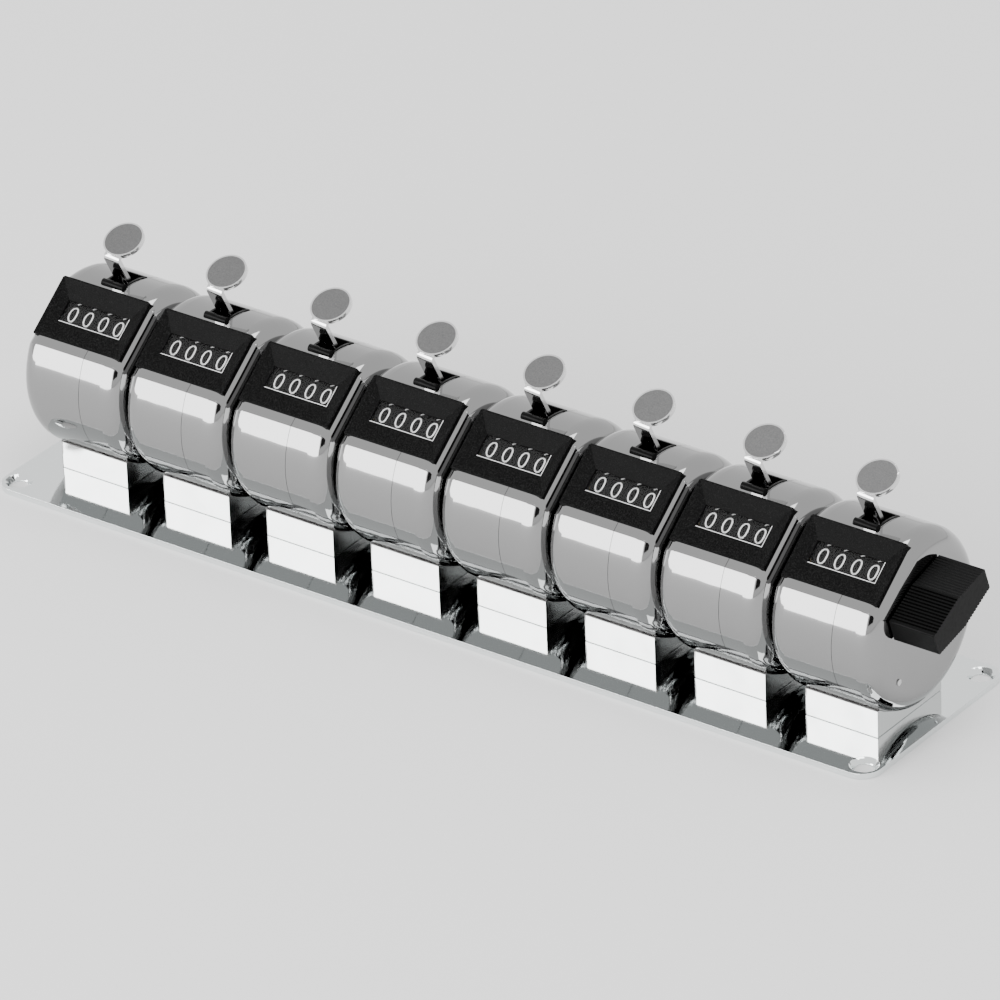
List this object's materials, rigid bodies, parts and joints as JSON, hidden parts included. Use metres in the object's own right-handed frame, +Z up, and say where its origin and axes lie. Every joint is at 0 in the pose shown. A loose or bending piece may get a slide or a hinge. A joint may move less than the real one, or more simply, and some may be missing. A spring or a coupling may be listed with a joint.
{
  "type": "bench tally counter",
  "caption": "Row of chromed drum counters on a mirror plate, each with a thumb lever and digit window, sharing one reset knob at the end.",
  "frame": {"origin": "middle of the base plate's underside", "axes": "+X along the row towards the reset knob, +Y to the back, +Z up"},
  "size_m": [0.2726, 0.06, 0.0634],
  "materials": {
    "mirror_plate": "mirror-polished chromed steel",
    "plated_sheet": "pale plated sheet steel",
    "plain_steel": "plain bright steel",
    "chrome_case": "chromed drawn sheet",
    "lever_chrome": "chromed, satin on the thumb pad",
    "black_bezel": "fine-grained black moulding",
    "black_trim": "black moulding",
    "clear_lens": "clear",
    "black_wheel": "black with white digits",
    "white_gear": "natural white acetal",
    "brass_bush": "turned"
  },
  "bodies": {
    "base": {"base_plate": "mirror_plate", "stands": "plated_sheet", "base_screws": "plain_steel", "base_nuts": "plain_steel", "left_cases": "chrome_case", "right_cases": "chrome_case", "bezels": "black_bezel", "windows": "clear_lens", "slot_liners": "black_trim", "mechanism_frames": "plain_steel", "shaft_bushes": "brass_bush", "carry_pinions": "white_gear", "pinion_shafts": "plain_steel", "case_pins": "plain_steel", "return_springs": "plain_steel", "detent_combs": "plain_steel"},
    "reset": {"reset_shaft": "plain_steel", "shaft_clip": "plain_steel", "reset_knob": "black_trim", "knob_grub_screw": "plain_steel"},
    "counter_1_lever": {"counter_1_lever": "lever_chrome"},
    "counter_1_units_wheel": {"counter_1_units_wheel": "black_wheel"},
    "counter_1_tens_wheel": {"counter_1_tens_wheel": "black_wheel"},
    "counter_1_hundreds_wheel": {"counter_1_hundreds_wheel": "black_wheel"},
    "counter_1_thousands_wheel": {"counter_1_thousands_wheel": "black_wheel"},
    "counter_2_lever": {"counter_2_lever": "lever_chrome"},
    "counter_2_units_wheel": {"counter_2_units_wheel": "black_wheel"},
    "counter_2_tens_wheel": {"counter_2_tens_wheel": "black_wheel"},
    "counter_2_hundreds_wheel": {"counter_2_hundreds_wheel": "black_wheel"},
    "counter_2_thousands_wheel": {"counter_2_thousands_wheel": "black_wheel"},
    "counter_3_lever": {"counter_3_lever": "lever_chrome"},
    "counter_3_units_wheel": {"counter_3_units_wheel": "black_wheel"},
    "counter_3_tens_wheel": {"counter_3_tens_wheel": "black_wheel"},
    "counter_3_hundreds_wheel": {"counter_3_hundreds_wheel": "black_wheel"},
    "counter_3_thousands_wheel": {"counter_3_thousands_wheel": "black_wheel"},
    "counter_4_lever": {"counter_4_lever": "lever_chrome"},
    "counter_4_units_wheel": {"counter_4_units_wheel": "black_wheel"},
    "counter_4_tens_wheel": {"counter_4_tens_wheel": "black_wheel"},
    "counter_4_hundreds_wheel": {"counter_4_hundreds_wheel": "black_wheel"},
    "counter_4_thousands_wheel": {"counter_4_thousands_wheel": "black_wheel"},
    "counter_5_lever": {"counter_5_lever": "lever_chrome"},
    "counter_5_units_wheel": {"counter_5_units_wheel": "black_wheel"},
    "counter_5_tens_wheel": {"counter_5_tens_wheel": "black_wheel"},
    "counter_5_hundreds_wheel": {"counter_5_hundreds_wheel": "black_wheel"},
    "counter_5_thousands_wheel": {"counter_5_thousands_wheel": "black_wheel"},
    "counter_6_lever": {"counter_6_lever": "lever_chrome"},
    "counter_6_units_wheel": {"counter_6_units_wheel": "black_wheel"},
    "counter_6_tens_wheel": {"counter_6_tens_wheel": "black_wheel"},
    "counter_6_hundreds_wheel": {"counter_6_hundreds_wheel": "black_wheel"},
    "counter_6_thousands_wheel": {"counter_6_thousands_wheel": "black_wheel"},
    "counter_7_lever": {"counter_7_lever": "lever_chrome"},
    "counter_7_units_wheel": {"counter_7_units_wheel": "black_wheel"},
    "counter_7_tens_wheel": {"counter_7_tens_wheel": "black_wheel"},
    "counter_7_hundreds_wheel": {"counter_7_hundreds_wheel": "black_wheel"},
    "counter_7_thousands_wheel": {"counter_7_thousands_wheel": "black_wheel"},
    "counter_8_lever": {"counter_8_lever": "lever_chrome"},
    "counter_8_units_wheel": {"counter_8_units_wheel": "black_wheel"},
    "counter_8_tens_wheel": {"counter_8_tens_wheel": "black_wheel"},
    "counter_8_hundreds_wheel": {"counter_8_hundreds_wheel": "black_wheel"},
    "counter_8_thousands_wheel": {"counter_8_thousands_wheel": "black_wheel"}
  },
  "joints": [
    {"name": "counter_1_lever_press", "type": "hinge", "parent": "base", "child": "counter_1_lever", "pos_m": [-0.11235, -0.00429, 0.03714], "axis": [-1, 0, 0], "range_deg": [0, 18], "stiffness_Nm_per_rad": 0.05, "springref_deg": -11.46},
    {"name": "counter_1_units_wheel_turn", "type": "hinge", "parent": "base", "child": "counter_1_units_wheel", "pos_m": [-0.11235, -0.00429, 0.03714], "axis": [1, 0, 0], "continuous": true},
    {"name": "counter_1_tens_wheel_turn", "type": "hinge", "parent": "base", "child": "counter_1_tens_wheel", "pos_m": [-0.11235, -0.00429, 0.03714], "axis": [1, 0, 0], "continuous": true},
    {"name": "counter_1_hundreds_wheel_turn", "type": "hinge", "parent": "base", "child": "counter_1_hundreds_wheel", "pos_m": [-0.11235, -0.00429, 0.03714], "axis": [1, 0, 0], "continuous": true},
    {"name": "counter_1_thousands_wheel_turn", "type": "hinge", "parent": "base", "child": "counter_1_thousands_wheel", "pos_m": [-0.11235, -0.00429, 0.03714], "axis": [1, 0, 0], "continuous": true},
    {"name": "counter_2_lever_press", "type": "hinge", "parent": "base", "child": "counter_2_lever", "pos_m": [-0.08025, -0.00429, 0.03714], "axis": [-1, 0, 0], "range_deg": [0, 18], "stiffness_Nm_per_rad": 0.05, "springref_deg": -11.46},
    {"name": "counter_2_units_wheel_turn", "type": "hinge", "parent": "base", "child": "counter_2_units_wheel", "pos_m": [-0.08025, -0.00429, 0.03714], "axis": [1, 0, 0], "continuous": true},
    {"name": "counter_2_tens_wheel_turn", "type": "hinge", "parent": "base", "child": "counter_2_tens_wheel", "pos_m": [-0.08025, -0.00429, 0.03714], "axis": [1, 0, 0], "continuous": true},
    {"name": "counter_2_hundreds_wheel_turn", "type": "hinge", "parent": "base", "child": "counter_2_hundreds_wheel", "pos_m": [-0.08025, -0.00429, 0.03714], "axis": [1, 0, 0], "continuous": true},
    {"name": "counter_2_thousands_wheel_turn", "type": "hinge", "parent": "base", "child": "counter_2_thousands_wheel", "pos_m": [-0.08025, -0.00429, 0.03714], "axis": [1, 0, 0], "continuous": true},
    {"name": "counter_3_lever_press", "type": "hinge", "parent": "base", "child": "counter_3_lever", "pos_m": [-0.04815, -0.00429, 0.03714], "axis": [-1, 0, 0], "range_deg": [0, 18], "stiffness_Nm_per_rad": 0.05, "springref_deg": -11.46},
    {"name": "counter_3_units_wheel_turn", "type": "hinge", "parent": "base", "child": "counter_3_units_wheel", "pos_m": [-0.04815, -0.00429, 0.03714], "axis": [1, 0, 0], "continuous": true},
    {"name": "counter_3_tens_wheel_turn", "type": "hinge", "parent": "base", "child": "counter_3_tens_wheel", "pos_m": [-0.04815, -0.00429, 0.03714], "axis": [1, 0, 0], "continuous": true},
    {"name": "counter_3_hundreds_wheel_turn", "type": "hinge", "parent": "base", "child": "counter_3_hundreds_wheel", "pos_m": [-0.04815, -0.00429, 0.03714], "axis": [1, 0, 0], "continuous": true},
    {"name": "counter_3_thousands_wheel_turn", "type": "hinge", "parent": "base", "child": "counter_3_thousands_wheel", "pos_m": [-0.04815, -0.00429, 0.03714], "axis": [1, 0, 0], "continuous": true},
    {"name": "counter_4_lever_press", "type": "hinge", "parent": "base", "child": "counter_4_lever", "pos_m": [-0.01605, -0.00429, 0.03714], "axis": [-1, 0, 0], "range_deg": [0, 18], "stiffness_Nm_per_rad": 0.05, "springref_deg": -11.46},
    {"name": "counter_4_units_wheel_turn", "type": "hinge", "parent": "base", "child": "counter_4_units_wheel", "pos_m": [-0.01605, -0.00429, 0.03714], "axis": [1, 0, 0], "continuous": true},
    {"name": "counter_4_tens_wheel_turn", "type": "hinge", "parent": "base", "child": "counter_4_tens_wheel", "pos_m": [-0.01605, -0.00429, 0.03714], "axis": [1, 0, 0], "continuous": true},
    {"name": "counter_4_hundreds_wheel_turn", "type": "hinge", "parent": "base", "child": "counter_4_hundreds_wheel", "pos_m": [-0.01605, -0.00429, 0.03714], "axis": [1, 0, 0], "continuous": true},
    {"name": "counter_4_thousands_wheel_turn", "type": "hinge", "parent": "base", "child": "counter_4_thousands_wheel", "pos_m": [-0.01605, -0.00429, 0.03714], "axis": [1, 0, 0], "continuous": true},
    {"name": "counter_5_lever_press", "type": "hinge", "parent": "base", "child": "counter_5_lever", "pos_m": [0.01605, -0.00429, 0.03714], "axis": [-1, 0, 0], "range_deg": [0, 18], "stiffness_Nm_per_rad": 0.05, "springref_deg": -11.46},
    {"name": "counter_5_units_wheel_turn", "type": "hinge", "parent": "base", "child": "counter_5_units_wheel", "pos_m": [0.01605, -0.00429, 0.03714], "axis": [1, 0, 0], "continuous": true},
    {"name": "counter_5_tens_wheel_turn", "type": "hinge", "parent": "base", "child": "counter_5_tens_wheel", "pos_m": [0.01605, -0.00429, 0.03714], "axis": [1, 0, 0], "continuous": true},
    {"name": "counter_5_hundreds_wheel_turn", "type": "hinge", "parent": "base", "child": "counter_5_hundreds_wheel", "pos_m": [0.01605, -0.00429, 0.03714], "axis": [1, 0, 0], "continuous": true},
    {"name": "counter_5_thousands_wheel_turn", "type": "hinge", "parent": "base", "child": "counter_5_thousands_wheel", "pos_m": [0.01605, -0.00429, 0.03714], "axis": [1, 0, 0], "continuous": true},
    {"name": "counter_6_lever_press", "type": "hinge", "parent": "base", "child": "counter_6_lever", "pos_m": [0.04815, -0.00429, 0.03714], "axis": [-1, 0, 0], "range_deg": [0, 18], "stiffness_Nm_per_rad": 0.05, "springref_deg": -11.46},
    {"name": "counter_6_units_wheel_turn", "type": "hinge", "parent": "base", "child": "counter_6_units_wheel", "pos_m": [0.04815, -0.00429, 0.03714], "axis": [1, 0, 0], "continuous": true},
    {"name": "counter_6_tens_wheel_turn", "type": "hinge", "parent": "base", "child": "counter_6_tens_wheel", "pos_m": [0.04815, -0.00429, 0.03714], "axis": [1, 0, 0], "continuous": true},
    {"name": "counter_6_hundreds_wheel_turn", "type": "hinge", "parent": "base", "child": "counter_6_hundreds_wheel", "pos_m": [0.04815, -0.00429, 0.03714], "axis": [1, 0, 0], "continuous": true},
    {"name": "counter_6_thousands_wheel_turn", "type": "hinge", "parent": "base", "child": "counter_6_thousands_wheel", "pos_m": [0.04815, -0.00429, 0.03714], "axis": [1, 0, 0], "continuous": true},
    {"name": "counter_7_lever_press", "type": "hinge", "parent": "base", "child": "counter_7_lever", "pos_m": [0.08025, -0.00429, 0.03714], "axis": [-1, 0, 0], "range_deg": [0, 18], "stiffness_Nm_per_rad": 0.05, "springref_deg": -11.46},
    {"name": "counter_7_units_wheel_turn", "type": "hinge", "parent": "base", "child": "counter_7_units_wheel", "pos_m": [0.08025, -0.00429, 0.03714], "axis": [1, 0, 0], "continuous": true},
    {"name": "counter_7_tens_wheel_turn", "type": "hinge", "parent": "base", "child": "counter_7_tens_wheel", "pos_m": [0.08025, -0.00429, 0.03714], "axis": [1, 0, 0], "continuous": true},
    {"name": "counter_7_hundreds_wheel_turn", "type": "hinge", "parent": "base", "child": "counter_7_hundreds_wheel", "pos_m": [0.08025, -0.00429, 0.03714], "axis": [1, 0, 0], "continuous": true},
    {"name": "counter_7_thousands_wheel_turn", "type": "hinge", "parent": "base", "child": "counter_7_thousands_wheel", "pos_m": [0.08025, -0.00429, 0.03714], "axis": [1, 0, 0], "continuous": true},
    {"name": "counter_8_lever_press", "type": "hinge", "parent": "base", "child": "counter_8_lever", "pos_m": [0.11235, -0.00429, 0.03714], "axis": [-1, 0, 0], "range_deg": [0, 18], "stiffness_Nm_per_rad": 0.05, "springref_deg": -11.46},
    {"name": "counter_8_units_wheel_turn", "type": "hinge", "parent": "base", "child": "counter_8_units_wheel", "pos_m": [0.11235, -0.00429, 0.03714], "axis": [1, 0, 0], "continuous": true},
    {"name": "counter_8_tens_wheel_turn", "type": "hinge", "parent": "base", "child": "counter_8_tens_wheel", "pos_m": [0.11235, -0.00429, 0.03714], "axis": [1, 0, 0], "continuous": true},
    {"name": "counter_8_hundreds_wheel_turn", "type": "hinge", "parent": "base", "child": "counter_8_hundreds_wheel", "pos_m": [0.11235, -0.00429, 0.03714], "axis": [1, 0, 0], "continuous": true},
    {"name": "counter_8_thousands_wheel_turn", "type": "hinge", "parent": "base", "child": "counter_8_thousands_wheel", "pos_m": [0.11235, -0.00429, 0.03714], "axis": [1, 0, 0], "continuous": true},
    {"name": "reset_turn", "type": "hinge", "parent": "base", "child": "reset", "pos_m": [0, -0.00429, 0.03714], "axis": [1, 0, 0], "continuous": true}
  ],
  "couplings": [
    {"joint": "counter_1_tens_wheel_turn", "follows": "counter_1_units_wheel_turn", "ratio": 0.1},
    {"joint": "counter_1_hundreds_wheel_turn", "follows": "counter_1_units_wheel_turn", "ratio": 0.01},
    {"joint": "counter_1_thousands_wheel_turn", "follows": "counter_1_units_wheel_turn", "ratio": 0.001},
    {"joint": "counter_2_tens_wheel_turn", "follows": "counter_2_units_wheel_turn", "ratio": 0.1},
    {"joint": "counter_2_hundreds_wheel_turn", "follows": "counter_2_units_wheel_turn", "ratio": 0.01},
    {"joint": "counter_2_thousands_wheel_turn", "follows": "counter_2_units_wheel_turn", "ratio": 0.001},
    {"joint": "counter_3_tens_wheel_turn", "follows": "counter_3_units_wheel_turn", "ratio": 0.1},
    {"joint": "counter_3_hundreds_wheel_turn", "follows": "counter_3_units_wheel_turn", "ratio": 0.01},
    {"joint": "counter_3_thousands_wheel_turn", "follows": "counter_3_units_wheel_turn", "ratio": 0.001},
    {"joint": "counter_4_tens_wheel_turn", "follows": "counter_4_units_wheel_turn", "ratio": 0.1},
    {"joint": "counter_4_hundreds_wheel_turn", "follows": "counter_4_units_wheel_turn", "ratio": 0.01},
    {"joint": "counter_4_thousands_wheel_turn", "follows": "counter_4_units_wheel_turn", "ratio": 0.001},
    {"joint": "counter_5_tens_wheel_turn", "follows": "counter_5_units_wheel_turn", "ratio": 0.1},
    {"joint": "counter_5_hundreds_wheel_turn", "follows": "counter_5_units_wheel_turn", "ratio": 0.01},
    {"joint": "counter_5_thousands_wheel_turn", "follows": "counter_5_units_wheel_turn", "ratio": 0.001},
    {"joint": "counter_6_tens_wheel_turn", "follows": "counter_6_units_wheel_turn", "ratio": 0.1},
    {"joint": "counter_6_hundreds_wheel_turn", "follows": "counter_6_units_wheel_turn", "ratio": 0.01},
    {"joint": "counter_6_thousands_wheel_turn", "follows": "counter_6_units_wheel_turn", "ratio": 0.001},
    {"joint": "counter_7_tens_wheel_turn", "follows": "counter_7_units_wheel_turn", "ratio": 0.1},
    {"joint": "counter_7_hundreds_wheel_turn", "follows": "counter_7_units_wheel_turn", "ratio": 0.01},
    {"joint": "counter_7_thousands_wheel_turn", "follows": "counter_7_units_wheel_turn", "ratio": 0.001},
    {"joint": "counter_8_tens_wheel_turn", "follows": "counter_8_units_wheel_turn", "ratio": 0.1},
    {"joint": "counter_8_hundreds_wheel_turn", "follows": "counter_8_units_wheel_turn", "ratio": 0.01},
    {"joint": "counter_8_thousands_wheel_turn", "follows": "counter_8_units_wheel_turn", "ratio": 0.001}
  ]
}
